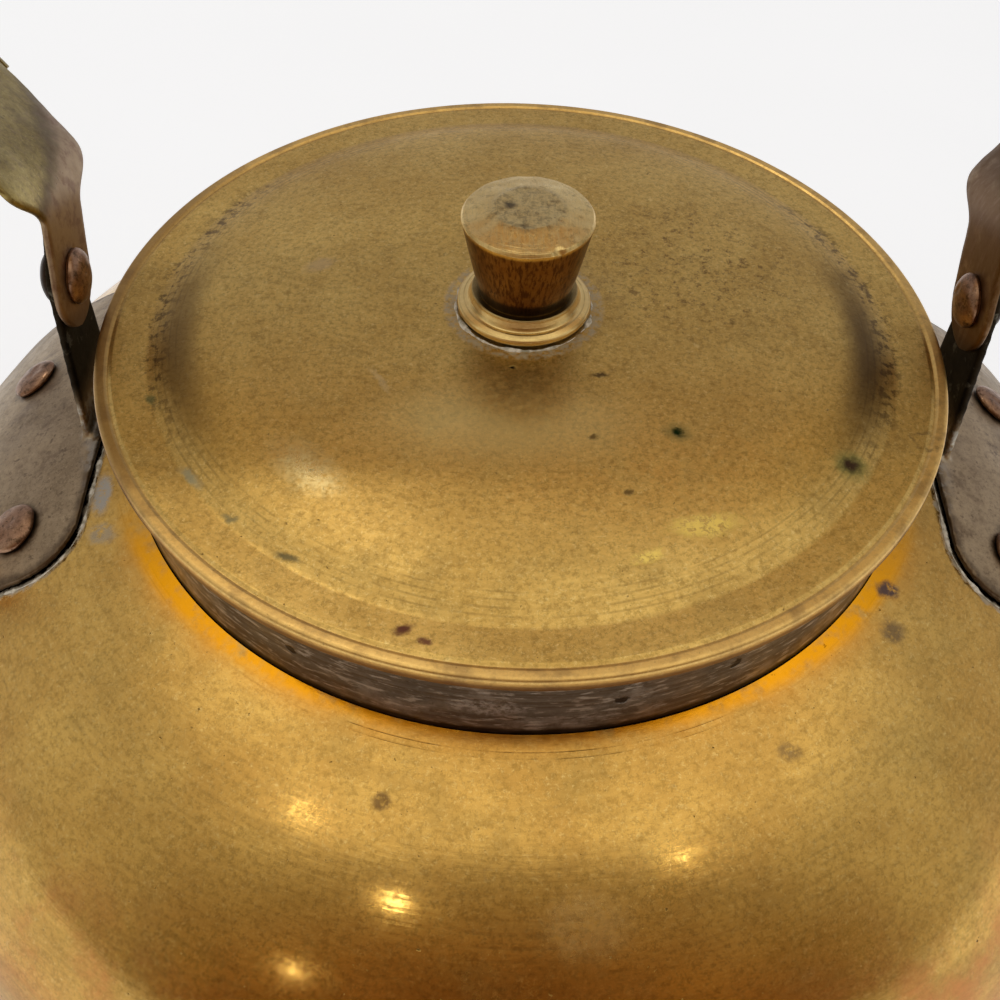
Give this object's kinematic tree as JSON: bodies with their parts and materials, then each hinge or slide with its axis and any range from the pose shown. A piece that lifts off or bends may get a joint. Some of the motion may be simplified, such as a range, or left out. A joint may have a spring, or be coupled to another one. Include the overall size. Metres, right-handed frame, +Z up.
{
  "type": "tea kettle",
  "caption": "Old spun brass tea kettle with a swinging strap handle on riveted ears, a gooseneck spout and a lift-off lid with a turned knob.",
  "frame": {"origin": "centre of the flat underside, on the axis of the round body", "axes": "+Z up; -X towards the spout; the handle swings about a line along X"},
  "size_m": [0.3057, 0.232, 0.2538],
  "materials": {
    "brass": "aged, softly polished",
    "tinned_brass": "tinned, dull and streaked",
    "ear_copper": "dark brown patina",
    "rivet_copper": "worn, pinkish brown",
    "handle_brass": "dull, unpolished",
    "base_copper": "fire-darkened",
    "knob_brass": "turned, scratched"
  },
  "bodies": {
    "kettle": {"body_shell": "brass", "base_pan": "base_copper", "neck_collar": "tinned_brass", "spout_tube": "brass", "spout_lip": "brass", "spout_flange": "brass", "spout_rivet_1": "rivet_copper", "spout_rivet_2": "rivet_copper", "spout_rivet_3": "rivet_copper", "spout_rivet_4": "rivet_copper", "spout_rivet_5": "rivet_copper", "spout_rivet_6": "rivet_copper", "left_ear": "ear_copper", "right_ear": "ear_copper", "left_ear_rivet_1": "rivet_copper", "left_ear_rivet_2": "rivet_copper", "left_ear_rivet_3": "rivet_copper", "right_ear_rivet_1": "rivet_copper", "right_ear_rivet_2": "rivet_copper", "right_ear_rivet_3": "rivet_copper"},
    "handle": {"handle_inner_strap": "handle_brass", "handle_outer_strap": "handle_brass", "left_pivot_rivet": "rivet_copper", "right_pivot_rivet": "rivet_copper"},
    "lid": {"lid_cover": "brass", "lid_skirt": "brass", "knob": "knob_brass", "knob_foot": "knob_brass", "knob_washer": "brass", "knob_stud": "brass"}
  },
  "joints": [
    {"name": "handle_swing", "type": "hinge", "parent": "kettle", "child": "handle", "pos_m": [0, 0, 0.1486], "axis": [1, 0, 0], "range_deg": [-75, 115]},
    {"name": "lid_lift", "type": "slide", "parent": "kettle", "child": "lid", "axis": [0, 0, 1], "range_m": [0, 0.06]}
  ]
}
